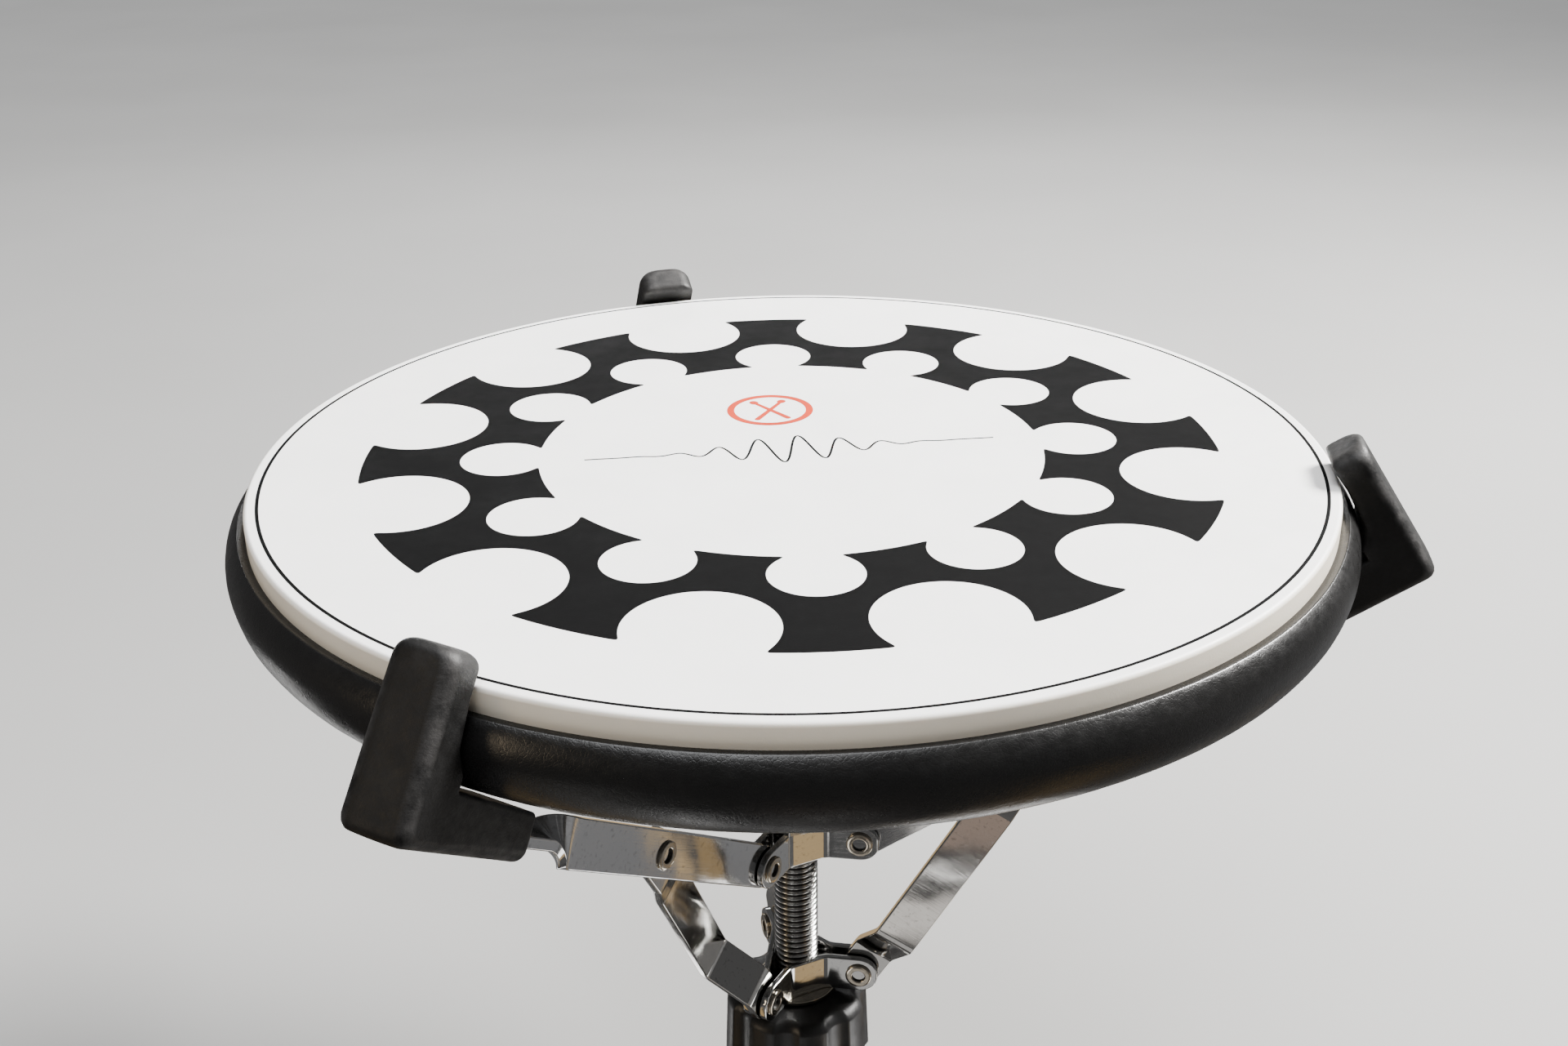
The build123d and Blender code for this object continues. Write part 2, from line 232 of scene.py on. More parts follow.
def lathe(profile, segments=96, closed=False, shape=None):
    """Turns (radius, height) points about Z. shape may change (angle, radius, height)."""
    verts, rings = [], []
    for radius, height in profile:
        if radius < 1e-6:
            rings.append([len(verts)] * segments)
            verts.append(Vector((0, 0, height)))
            continue
        rings.append(list(range(len(verts), len(verts) + segments)))
        for i in range(segments):
            angle = TURN * i / segments
            r, z = shape(angle, radius, height) if shape else (radius, height)
            verts.append(Vector((r * cos(angle), r * sin(angle), z)))
    return verts, ring_faces(rings, closed)


def joined(*parts):
    """Several (vertices, faces) pairs as one."""
    verts, faces = [], []
    for more_verts, more_faces in parts:
        shift = len(verts)
        verts += more_verts
        faces += [[i + shift for i in face] for face in more_faces]
    return verts, faces


def placed(name, data):
    """A new object in the scene."""
    made = bpy.data.objects.new(name, data)
    bpy.context.scene.collection.objects.link(made)
    return made


def make_piece(name, mesh_data, material, body, nodes, attributes=None, weighted=True):
    """A new object from millimetre vertices, riding on a body in place of CAD nodes."""
    verts, faces = mesh_data
    mesh = bpy.data.meshes.new(name)
    mesh.from_pydata([v * MM for v in verts], [], faces)
    mesh.polygons.foreach_set("use_smooth", [True] * len(mesh.polygons))
    for label, values in (attributes or {}).items():
        kind, field = ("FLOAT_VECTOR", "vector") if len(values[0]) == 3 else ("FLOAT", "value")
        attribute = mesh.attributes.new(label, kind, "POINT")
        attribute.data.foreach_set(field, [x for value in values for x in value])
    mesh.materials.append(material)
    piece = placed(name, mesh)
    if weighted:
        piece.modifiers.new("weighted normals", "WEIGHTED_NORMAL")
    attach(piece, body)
    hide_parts(*nodes)
    return piece


def turned(mesh_data, azimuth):
    verts, faces = mesh_data
    matrix = Matrix.Rotation(azimuth, 3, "Z")
    return [matrix @ v for v in verts], faces


def tilted(points, tilt, pivot_r, pivot_z):
    """Points drawn along +X from their pivot, tilted up and put at the pivot."""
    matrix = Matrix.Rotation(-tilt, 3, "Y")
    pivot = Vector((pivot_r, 0, pivot_z))
    return [matrix @ p + pivot for p in points]


def rounded_rectangle(half_x, half_y, corner, steps=4):
    """Points round a rectangle, the same number for every size."""
    corner = min(corner, half_x * 0.98, half_y * 0.98)
    points = []
    for quarter, (sx, sy) in enumerate(((1, 1), (-1, 1), (-1, -1), (1, -1))):
        for i in range(steps + 1):
            angle = (quarter + i / steps) * pi / 2
            points.append((sx * (half_x - corner) + corner * cos(angle),
                           sy * (half_y - corner) + corner * sin(angle)))
    return points


def end_taper(distance, radius):
    """How much of a round end's radius is left at this distance from its tip."""
    if distance >= radius:
        return radius
    return sqrt(max(0.0, radius * radius - (radius - distance) ** 2))


def between(start, end, steps):
    """Evenly spaced values from start to end, with both ends."""
    return [start + (end - start) * k / steps for k in range(steps + 1)]


def lengths_along(points):
    """How far each point is along a line."""
    lengths = [0.0]
    for a, b in zip(points, points[1:]):
        lengths.append(lengths[-1] + (b - a).length)
    return lengths


def tip_insets(radius):
    """Distances from a round end's tip, closer together near the tip."""
    return [radius * (1 - cos(angle)) for angle in between(0, pi / 2, TIP_STEPS)[1:]]


def walk(path, spacing, end_radius):
    """Points, tangents and lengths along a 2-D path, closer together near its two round ends."""
    lengths = lengths_along(path)
    total = lengths[-1]
    marks = set(lengths[1:-1]) | {k * spacing for k in range(1, int(total / spacing))}
    for inset in tip_insets(end_radius):
        marks |= {inset, total - inset}
    marks = sorted(m for m in marks if 0 < m < total)
    closest = 0.05
    kept = [marks[0]]
    for mark in marks[1:]:
        if mark - kept[-1] > closest:
            kept.append(mark)
    corner_dirs = [(path[1] - path[0]).normalized()]
    for a, b, c in zip(path, path[1:], path[2:]):
        corner_dirs.append(((b - a).normalized() + (c - b).normalized()).normalized())
    corner_dirs.append((path[-1] - path[-2]).normalized())
    out = []
    segment = 0
    for mark in kept:
        while lengths[segment + 1] < mark - 1e-9:
            segment += 1
        share = (mark - lengths[segment]) / (lengths[segment + 1] - lengths[segment])
        point = path[segment].lerp(path[segment + 1], share)
        tangent = corner_dirs[segment].lerp(corner_dirs[segment + 1], share).normalized()
        out.append((mark, point, tangent))
    return out, total


def swept(sections):
    """A flat strip through (along, centre, thickness direction, width direction, half thickness,
    half width) sections.

    Returns the mesh and, for each vertex, its place along, across and through the strip."""
    verts, rings, flow = [], [], []
    for along, centre, thick_dir, width_dir, half_thick, half_width in sections:
        outline = rounded_rectangle(half_thick, half_width, STRIP_EDGE)
        rings.append(list(range(len(verts), len(verts) + len(outline))))
        for x, y in outline:
            verts.append(centre + thick_dir * x + width_dir * y)
            flow.append((along * MM, y * MM, x * MM))
    return (verts, capped(rings)), flow


def capped(rings):
    """Faces between rings, and one over each end."""
    return ring_faces(rings) + [rings[0][::-1], rings[-1]]


def strip(path, thick, half_width):
    """A flat strip on edge with round ends: it follows a path in X and Y, and its width is along Z."""
    stations, total = walk(path, STATION_SPACING, half_width)
    sections = []
    for along, point, tangent in stations:
        side = Vector((-tangent.y, tangent.x, 0))
        width, half_thick = half_width, thick / 2
        for distance in (along, total - along):
            width = min(width, end_taper(distance, half_width))
            half_thick = min(half_thick,
                             thick / 2 - STRIP_EDGE + end_taper(distance, STRIP_EDGE))
        sections.append((along, point.to_3d(), side, Vector((0, 0, 1)), half_thick, width))
    return swept(sections)


# ---------------- materials

class Paint:
    """A node material with a few short ways to add nodes."""

    def __init__(self, name, color, roughness, metallic=0.0):
        self.material = bpy.data.materials.new(name)
        self.material.use_nodes = True
        self.tree = self.material.node_tree
        self.shader = next(n for n in self.tree.nodes if n.type == "BSDF_PRINCIPLED")
        self.set("Base Color", (*color, 1))
        self.set("Roughness", roughness)
        self.set("Metallic", metallic)

    def set(self, socket, value):
        self.shader.inputs[socket].default_value = value

    def drive(self, socket, output):
        self.tree.links.new(output, self.shader.inputs[socket])

    def node(self, kind, inputs=None, **settings):
        made = self.tree.nodes.new("ShaderNode" + kind)
        for key, value in settings.items():
            setattr(made, key, value)
        for key, value in (inputs or {}).items():
            if isinstance(value, bpy.types.NodeSocket):
                self.tree.links.new(value, made.inputs[key])
            else:
                made.inputs[key].default_value = value
        return made

    def place(self, stretch=(1, 1, 1)):
        """Object coordinates in metres, stretched."""
        source = self.node("TexCoord").outputs["Object"]
        return self.node("Mapping", {"Vector": source, "Scale": stretch}).outputs["Vector"]

    def flow(self, stretch=(1, 1, 1)):
        """Coordinates along, across and through a strip, stretched."""
        source = self.node("Attribute", attribute_name="flow").outputs["Vector"]
        return self.node("Mapping", {"Vector": source, "Scale": stretch}).outputs["Vector"]

    def noise(self, scale, detail=4.0, rough=0.55, at=None):
        at = self.place() if at is None else at
        inputs = {"Vector": at, "Scale": scale, "Detail": detail, "Roughness": rough}
        return self.node("TexNoise", inputs).outputs["Fac"]

    def cells(self, scale):
        inputs = {"Vector": self.place(), "Scale": scale}
        return self.node("TexVoronoi", inputs, feature="DISTANCE_TO_EDGE").outputs["Distance"]

    def ramp(self, value, *stops):
        """A colour ramp. A stop is (position, grey) or (position, (r, g, b))."""
        made = self.node("ValToRGB", {"Fac": value})
        elements = made.color_ramp.elements
        while len(elements) < len(stops):
            elements.new(0.5)
        for element, (position, color) in zip(elements, stops):
            element.position = position
            color = (color, color, color) if isinstance(color, float) else color
            element.color = (*color, 1)
        return made.outputs["Color"]

    def vary(self, socket, value, *stops):
        """Drives a socket with a ramp."""
        self.drive(socket, self.ramp(value, *stops))

    def math(self, operation, a, b):
        made = self.node("Math", {0: a, 1: b}, operation=operation)
        return made.outputs["Value"]

    def blend(self, factor, a, b, kind="MIX"):
        made = self.node("MixRGB", {"Fac": factor, "Color1": a, "Color2": b}, blend_type=kind)
        return made.outputs["Color"]

    def bump(self, height, strength, distance, under=None):
        inputs = {"Height": height, "Strength": strength, "Distance": distance}
        if under is not None:
            inputs["Normal"] = under
        return self.node("Bump", inputs).outputs["Normal"]


def white_silicone():
    """Satin white on top; down the side the colour is painted creamier and darker as painted shade and
    warm bounce light, by the way the surface faces; with a faint mottle and grain.
    """
    paint = Paint("white_silicone", (0.86, 0.855, 0.835), 0.42)
    normal = paint.node("NewGeometry").outputs["Normal"]
    up = paint.node("SeparateXYZ", {"Vector": normal}).outputs["Z"]
    # Painted shade: cream and darker where the surface faces sideways, for the shade and warm bounce
    # light on the side wall.
    white = paint.ramp(up, (0.0, (0.80, 0.73, 0.61)), (0.55, (0.86, 0.82, 0.74)),
                       (0.97, (0.90, 0.895, 0.88)))
    cloud = paint.noise(45, 5.0)
    mottle = paint.ramp(cloud, (0.3, 0.955), (0.65, 1.0))
    paint.drive("Base Color", paint.blend(1.0, white, mottle, "MULTIPLY"))
    paint.vary("Roughness", paint.noise(160), (0.3, 0.38), (0.7, 0.50))
    grain = paint.noise(1900, 3.0)
    waves = paint.noise(22, 2.0)
    first = paint.bump(waves, 0.25, 0.0006)
    paint.drive("Normal", paint.bump(grain, 0.10, 0.0002, first))
    paint.set("Subsurface Weight", 0.08)
    paint.set("Subsurface Radius", (1.0, 0.75, 0.5))
    paint.set("Subsurface Scale", 0.0015)
    return paint.material


def ink(name, color, roughness):
    """Screen-printed ink with tiny pinholes and a dry, slightly uneven surface."""
    paint = Paint(name, color, roughness)
    speck = paint.noise(2600, 2.0)
    lighter = tuple(min(1.0, c * 1.7 + 0.003) for c in color)
    darker = tuple(c * 0.8 for c in color)
    patches = paint.noise(60)
    base = paint.ramp(patches, (0.35, darker), (0.7, color))
    paint.drive("Base Color", paint.blend(paint.ramp(speck, (0.6, 0.0), (0.78, 0.8)), base,
                                          (*lighter, 1)))
    paint.vary("Roughness", patches, (0.3, roughness - 0.06), (0.7, roughness + 0.08))
    paint.drive("Normal", paint.bump(speck, 0.25, 0.00008))
    paint.set("Specular IOR Level", 0.06)
    return paint.material


def rim_rubber():
    """Near-black moulded rubber with a leather-like grain and a wrinkled sheen."""
    paint = Paint("rim_rubber", (0.006, 0.0058, 0.0057), 0.42)
    wrinkle = paint.noise(330, 5.0, 0.62, paint.place((1.0, 1.0, 1.7)))
    leather = paint.cells(950)
    dust = paint.noise(40)
    paint.vary("Base Color", dust, (0.35, (0.0045, 0.0044, 0.0044)), (0.8, (0.0075, 0.0072, 0.007)))
    paint.vary("Roughness", wrinkle, (0.3, 0.25), (0.7, 0.36))
    first = paint.bump(wrinkle, 0.16, 0.0005)
    pits = paint.ramp(leather, (0.0, 0.0), (0.12, 1.0))
    paint.drive("Normal", paint.bump(pits, 0.1, 0.00022, first))
    paint.set("Specular IOR Level", 0.5)
    return paint.material


def mat_rubber():
    """Matt cellular rubber under the pad."""
    paint = Paint("mat_rubber", (0.03, 0.03, 0.031), 0.85)
    cells = paint.cells(620)
    paint.vary("Base Color", cells, (0.0, (0.018, 0.018, 0.019)), (0.25, (0.045, 0.045, 0.047)))
    paint.drive("Normal", paint.bump(cells, 0.6, 0.0006))
    return paint.material


def grip_rubber():
    """Black rubber with a fine grain, rubbed grey on its rounded edges and its tip."""
    paint = Paint("grip_rubber", (0.004, 0.004, 0.0041), 0.6)
    wear = paint.node("Attribute", attribute_name="wear").outputs["Fac"]
    patches = paint.noise(130, 6.0, 0.65)
    rubbed = paint.math("MULTIPLY", wear, paint.ramp(patches, (0.38, 0.0), (0.66, 1.0)))
    cloud = paint.noise(40)
    black = paint.ramp(cloud, (0.3, (0.003, 0.003, 0.0031)), (0.75, (0.0055, 0.0052, 0.005)))
    paint.drive("Base Color", paint.blend(rubbed, black, (0.04, 0.038, 0.037, 1)))
    paint.vary("Roughness", paint.noise(420), (0.3, 0.44), (0.7, 0.62))
    paint.set("Specular IOR Level", 0.3)
    grain = paint.noise(1500, 4.0, 0.6)
    dents = paint.noise(90, 2.0)
    first = paint.bump(dents, 0.2, 0.0007)
    paint.drive("Normal", paint.bump(grain, 0.35, 0.00025, first))
    return paint.material


def chrome(name, roughness, scratch, tint, along=True):
    """Chrome plate. Fine scratches run across or along the strip, and there are dull smudges."""
    paint = Paint(name, tint, roughness, 1.0)
    stretch = (60, 2400, 60) if along else (2400, 90, 60)
    lines = paint.noise(1.0, 3.0, 0.6, paint.flow(stretch))
    pits = paint.noise(700, 3.0, 0.6)
    smudge = paint.noise(55, 5.0, 0.6)
    darker = tuple(c * 0.72 for c in tint)
    paint.vary("Base Color", pits, (0.28, darker), (0.42, tint))
    dull = paint.ramp(smudge, (0.35, roughness), (0.75, roughness + 0.09))
    scuffs = paint.ramp(lines, (0.45, 0.0), (0.85, scratch))
    paint.drive("Roughness", paint.math("ADD", dull, scuffs))
    sagging = paint.bump(paint.noise(26, 2.0), 0.35, 0.0010)
    paint.drive("Normal", paint.bump(lines, 0.9 * scratch, 0.00006, sagging))
    return paint.material


def plated(name, tint, roughness, grain):
    """Nickel or zinc plate on a turned or cold-headed part, darker in any thread's grooves: partly
    dirt, partly painted shade.
    """
    paint = Paint(name, tint, roughness, 1.0)
    spots = paint.noise(900, 4.0, 0.65)
    darker = tuple(c * 0.7 for c in tint)
    plate = paint.ramp(spots, (0.25, darker), (0.5, tint))
    # Painted shade, with some dirt: the deeper in a thread's groove, the darker the colour.
    groove = paint.node("Attribute", attribute_name="groove").outputs["Fac"]
    grime_and_shade = paint.ramp(groove, (0.25, 0.0), (0.9, 1.0))
    paint.drive("Base Color", paint.blend(grime_and_shade, plate, (0.035, 0.033, 0.03, 1)))
    paint.vary("Roughness", paint.noise(300), (0.3, roughness), (0.7, roughness + 0.08))
    paint.drive("Normal", paint.bump(spots, grain, 0.00008))
    return paint.material


def rivet_bore_shade():
    """Painted shade: a dark colour in a blind bore, in place of the shadow inside a hollow rivet."""
    paint = Paint("rivet_bore_shade", (0.02, 0.017, 0.014), 0.45)
    grime_and_shade = paint.noise(1500)
    paint.vary("Base Color", grime_and_shade, (0.3, (0.008, 0.007, 0.006)), (0.8, (0.05, 0.042, 0.03)))
    return paint.material


def knob_plastic():
    """Satin black moulded nylon with a fine spark-eroded texture."""
    paint = Paint("knob_plastic", (0.008, 0.008, 0.0085), 0.45)
    paint.vary("Base Color", paint.noise(60, 5.0), (0.3, (0.006, 0.006, 0.0065)),
               (0.8, (0.014, 0.0135, 0.0135)))
    paint.vary("Roughness", paint.noise(200), (0.3, 0.33), (0.7, 0.50))
    paint.drive("Normal", paint.bump(paint.noise(2400, 3.0), 0.3, 0.00012))
    return paint.material


def fibreboard():
    """Pressed wood fibre, seen only when the pad is taken apart."""
    paint = Paint("core_board", (0.34, 0.22, 0.12), 0.8)
    fibres = paint.noise(260, 6.0, 0.7, paint.place((1.0, 3.0, 8.0)))
    paint.vary("Base Color", fibres, (0.3, (0.20, 0.125, 0.065)), (0.7, (0.40, 0.27, 0.15)))
    paint.drive("Normal", paint.bump(fibres, 0.5, 0.0003))
    return paint.material


SILICONE = white_silicone()
BLACK_INK = ink("black_ink", (0.0012, 0.0012, 0.0013), 0.62)
RED_INK = ink("red_ink", (0.50, 0.045, 0.018), 0.55)
RIM_RUBBER = rim_rubber()
MAT_RUBBER = mat_rubber()
GRIP_RUBBER = grip_rubber()
ARM_CHROME = chrome("arm_chrome", 0.05, 0.08, (0.60, 0.60, 0.60))
LINK_CHROME = chrome("link_chrome", 0.04, 0.07, (0.58, 0.57, 0.55), along=False)
HUB_CHROME = chrome("hub_chrome", 0.05, 0.12, (0.60, 0.60, 0.59))
NICKEL = plated("rivet_nickel", (0.50, 0.45, 0.37), 0.11, 0.2)
ZINC = plated("bright_zinc", (0.62, 0.615, 0.60), 0.14, 0.2)
# Painted shade for the inside of the rivets' bores.
RIVET_BORE_SHADE = rivet_bore_shade()
KNOB_PLASTIC = knob_plastic()
FIBREBOARD = fibreboard()


# ---------------- the pad

def playing_surface():
    low = PAD_TOP - SURFACE_THICK
    profile = rounded([(0, low, 0), (SURFACE_R, low, 0.3), (SURFACE_R, PAD_TOP, SURFACE_EDGE),
                       (0, PAD_TOP, 0)])
    make_piece("silicone_surface", lathe(profile, segments=320), SILICONE, "pad",
               ["playing_surface"])


def ellipse_arc(centre_x, centre_y, radius_x, radius_y, start, sweep, steps=18):
    """Points along an ellipse, from the angle start on."""
    return [Vector((centre_x + radius_x * cos(a), centre_y + radius_y * sin(a)))
            for a in between(start, start + sweep, steps)]


def uneven_rubber(angle, radius, height):
    """Thick moulded rubber is never quite round."""
    if radius < SURFACE_R + 0.1:
        return radius, height
    spot = Vector((cos(angle) * radius, sin(angle) * radius, height))
    swell = sum(depth * noise.noise(spot / size) for depth, size in RIM_SWELLS)
    share = min(1.0, max(0.0, (PAD_TOP - height - LEDGE_DEPTH) / RIM_SWELL_FADE))
    return radius + share * min(0.0, swell - RIM_SHRINK), height


def base_moulding():
    waist = PAD_TOP - RIM_WAIST
    low = PAD_TOP - BASE_DEPTH
    pocket = PAD_TOP - SURFACE_THICK - CORE_THICK
    ledge = PAD_TOP - LEDGE_DEPTH
    profile = [Vector((0, pocket)), Vector((0, low)), Vector((MAT_INNER_R, low))]
    half_width = RIM_R - UNDERSIDE_R
    profile += ellipse_arc(UNDERSIDE_R, waist, half_width, BASE_DEPTH - RIM_WAIST, -pi / 2, pi / 2)
    profile += ellipse_arc(UNDERSIDE_R, waist, half_width, SHOULDER_RISE, 0, SHOULDER_TURN)[1:]
    profile += [Vector(p) for p in (
        (LEDGE_R, ledge), (SURFACE_R, ledge), (SURFACE_R, PAD_TOP - SURFACE_THICK),
        (CORE_R, PAD_TOP - SURFACE_THICK), (CORE_R, pocket))]
    make_piece("rubber_rim", lathe(profile, segments=384, shape=uneven_rubber, closed=True),
               RIM_RUBBER, "pad", ["base_moulding"])


def underside_mat():
    profile = rounded([(MAT_INNER_R, mat_high.z, 0.2), (MAT_INNER_R, mat_low.z, MAT_CORNER),
                       (MAT_R, mat_low.z, MAT_CORNER), (MAT_R, mat_high.z, 0.2)], closed=True)
    make_piece("cell_rubber_mat", lathe(profile, segments=192, closed=True), MAT_RUBBER, "pad",
               ["underside_mat"])


# ---------------- the print

def softened(loop, reach):
    """Rounds the sharp corners of a closed, evenly spaced loop by a weighted average."""
    spacing = (loop[1] - loop[0]).length
    span = max(1, round(3 * reach / spacing))
    weights = [exp(-0.5 * (k * spacing / reach) ** 2) for k in range(-span, span + 1)]
    total = sum(weights)
    count = len(loop)
    out = []
    for i in range(count):
        point = Vector((0, 0))
        for k, weight in enumerate(weights):
            point += loop[(i + k - span) % count] * weight
        out.append(point / total)
    return out


def evenly(loop, spacing):
    """The same closed loop with evenly spaced points."""
    closed = loop + loop[:1]
    lengths = lengths_along(closed)
    count = round(lengths[-1] / spacing)
    out, segment = [], 0
    for i in range(count):
        mark = lengths[-1] * i / count
        while lengths[segment + 1] < mark:
            segment += 1
        share = (mark - lengths[segment]) / (lengths[segment + 1] - lengths[segment])
        out.append(closed[segment].lerp(closed[segment + 1], share))
    return out


def polar(radius, angle):
    return Vector((radius * cos(angle), radius * sin(angle)))


def scalloped(circle_r, bite_r, bite_at, first_bite, inward):
    """A circle with round bites out of the ring beside it, as one closed loop."""
    cut = (circle_r ** 2 + bite_at ** 2 - bite_r ** 2) / (2 * circle_r * bite_at)
    half_mouth = atan2(sqrt(1 - cut * cut), cut)
    pitch = TURN / SCALLOPS
    loop = []
    for k in range(SCALLOPS):
        middle = first_bite + pitch * k
        centre = polar(bite_at, middle)
        entry = polar(circle_r, middle - half_mouth) - centre
        leave = polar(circle_r, middle + half_mouth) - centre
        start = atan2(entry.y, entry.x)
        end = atan2(leave.y, leave.x)
        sweep = (end - start) % TURN
        if inward:
            sweep -= TURN
        loop += [centre + polar(bite_r, a) for a in between(start, start + sweep, BITE_STEPS)]
        rim = between(middle + half_mouth, middle + pitch - half_mouth, RIM_STEPS)
        loop += [polar(circle_r, a) for a in rim[1:-1]]
    return softened(evenly(loop, OUTLINE_SPACING), TIP_SOFTNESS)


def printed(name, loops, material, top=0.0):
    """A thin layer of ink between closed loops, on the playing surface."""
    curve = bpy.data.curves.new(name, "CURVE")
    curve.dimensions = "2D"
    curve.fill_mode = "BOTH"
    curve.extrude = INK_THICK / 2 * MM
    for loop in loops:
        spline = curve.splines.new("POLY")
        spline.points.add(len(loop) - 1)
        spline.points.foreach_set("co", [x for p in loop for x in (p.x * MM, p.y * MM, 0, 1)])
        spline.use_cyclic_u = True
    drawn = bpy.data.objects.new(name + "_outline", curve)
    mesh = bpy.data.meshes.new_from_object(drawn)
    bpy.data.objects.remove(drawn)
    mesh.name = name
    mesh.transform(Matrix.Translation((0, 0, (PAD_TOP + top) * MM)))
    mesh.materials.clear()
    mesh.materials.append(material)
    piece = placed(name, mesh)
    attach(piece, "pad")


def circle(radius, centre=Vector((0, 0)), count=360):
    return [centre + polar(radius, TURN * k / count) for k in range(count)]


def stick(length, butt_r, tip_r, neck_r):
    """The outline of a drumstick along X, with its bead at +X."""
    half = length / 2
    bead_at = half - tip_r * 1.2
    side = [Vector((-half + butt_r * (1 - cos(a)), butt_r * sin(a)))
            for a in between(0, pi / 2, 6)[1:]]
    side += [Vector((bead_at - 2.6 * tip_r, neck_r)), Vector((bead_at - 1.25 * tip_r, neck_r))]
    side += [Vector((bead_at - 1.2 * tip_r * cos(a), tip_r * sin(a)))
             for a in between(radians(24), radians(164), 10)]
    return side + [Vector((p.x, -p.y)) for p in reversed(side)]


def turned_loop(loop, angle, centre):
    matrix = Matrix.Rotation(angle, 2)
    return [matrix @ p + centre for p in loop]


def surface_print():
    """A ring of round scallops, a line near the edge, a plain drum mark and a sound wave."""
    half_pitch = TURN / SCALLOPS / 2
    outer = scalloped(PRINT_OUTER_R, OUTER_BITE_R, OUTER_BITE_AT, FIRST_TOOTH + half_pitch, True)
    inner = scalloped(PRINT_INNER_R, INNER_BITE_R, INNER_BITE_AT, FIRST_TOOTH, False)
    printed("scalloped_ring_print", [outer, inner], BLACK_INK)
    half_line = EDGE_LINE_WIDTH / 2
    printed("edge_line_print", [circle(EDGE_LINE_R + half_line), circle(EDGE_LINE_R - half_line)],
            BLACK_INK)
    printed("drum_mark_ring", [circle(r, MARK_AT, 120) for r in (MARK_R, MARK_R - MARK_LINE)],
            RED_INK)
    for name, side in (("left", -1), ("right", 1)):
        outline = stick(STICK_LENGTH, STICK_BUTT_R, STICK_TIP_R, STICK_NECK_R)
        loop = turned_loop(outline, PRINT_TURN + pi / 2 + side * STICK_LEAN, MARK_AT)
        printed(f"drum_mark_stick_{name}", [loop], RED_INK, top=side * INK_THICK / 4)
    sound_wave()


def sound_wave():
    """A damped wave in a thin line across the middle of the surface."""
    middle = []
    for x in between(-WAVE_HALF_LENGTH, WAVE_HALF_LENGTH, WAVE_STEPS):
        swell = exp(-((x / WAVE_REACH) ** 2))
        middle.append(Vector((x, WAVE_HEIGHT * swell * sin(x * TURN / WAVE_PITCH))))
    sides = ([], [])
    for k, point in enumerate(middle):
        ahead = middle[min(k + 1, WAVE_STEPS)] - middle[max(k - 1, 0)]
        normal = Vector((-ahead.y, ahead.x)).normalized() * WAVE_HALF_LINE
        sides[0].append(point + normal)
        sides[1].append(point - normal)
    loop = turned_loop(sides[0] + sides[1][::-1], PRINT_TURN, Vector((0, 0)))
    printed("sound_wave_print", [loop], BLACK_INK)


# ---------------- rod, hubs and knob

def thread(angle, radius, height):
    """A rolled right-handed thread, which fades out at both ends."""
    phase = (height / PITCH - angle / TURN) % 1.0
    valley = min(1.0, max(0.0, (abs(2 * phase - 1) - THREAD_CREST) / THREAD_FLANK))
    valley = valley * valley * (3 - 2 * valley)
    fade = min(1.0, (rod_high.z - height) / PITCH, (height - NECK_TOP) / PITCH)
    return radius - THREAD_DEPTH * max(valley, 1 - max(0.0, fade)), height


def threaded_rod():
    low, high = NECK_TOP, rod_high.z
    count = int((high - low) / PITCH * THREAD_ROWS_PER_PITCH)
    profile = [(THREAD_R, height) for height in between(low, high, count)]
    screw = lathe(profile, THREAD_SEGMENTS, shape=thread)
    inner = THREAD_R - THREAD_DEPTH
    end = lathe([(inner, high), (0, high)], THREAD_SEGMENTS)
    stem_low = rod_low.z
    stem_profile = rounded([(0, stem_low, 0), (STEM_R - 1, stem_low, 0.3),
                            (STEM_R, stem_low + 1, 0.3), (STEM_R, 0, 0.5), (NECK_R, 0, 0.2),
                            (NECK_R, NECK_TOP, 0), (inner, NECK_TOP, 0)])
    stem = lathe(stem_profile, segments=96)
    verts, faces = joined(stem, screw, end)
    # Depth into the thread's valleys; the plated finish paints shade, with some dirt, from it.
    groove = [((THREAD_R - hypot(v.x, v.y)) / THREAD_DEPTH,) if v.z > NECK_TOP else (0.0,)
              for v in verts]
    make_piece("rolled_thread_rod", (verts, faces), ZINC, "rod",
               ["threaded_rod"], {"groove": groove}, weighted=False)


def bracket_path(span):
    """In plan: in beside one arm, flat across the rod, and out beside the next arm."""
    beside = (EAR_GAP + STRIP_THICK) / 2
    flat_r = THREAD_R + RUNNING_FIT + STRIP_THICK / 2
    corner = Vector(((flat_r - beside * sin(span / 2)) / cos(span / 2), beside))
    tip = Vector((HUB_PIN_R + EAR_HALF_HEIGHT, beside))
    mirror = Matrix.Rotation(span, 2) @ Matrix(((1, 0), (0, -1)))
    far_corner, far_tip = mirror @ corner, mirror @ tip
    return rounded([(*tip, 0), (*corner, STRIP_BEND_R), (*far_corner, STRIP_BEND_R), (*far_tip, 0)])


def brackets():
    for level, pin_z, body in HUBS:
        for number, azimuth in enumerate(ARM_AZIMUTHS, 1):
            span = (ARM_AZIMUTHS[number % 3] - azimuth) % TURN
            mesh_data, flow = strip(bracket_path(span), STRIP_THICK, EAR_HALF_HEIGHT)
            verts, faces = turned(mesh_data, azimuth)
            verts = [v + Vector((0, 0, pin_z)) for v in verts]
            make_piece(f"{level}_bent_strip_{number}", (verts, faces), HUB_CHROME, body,
                       [f"{level}_bracket_{number}"], {"flow": flow})


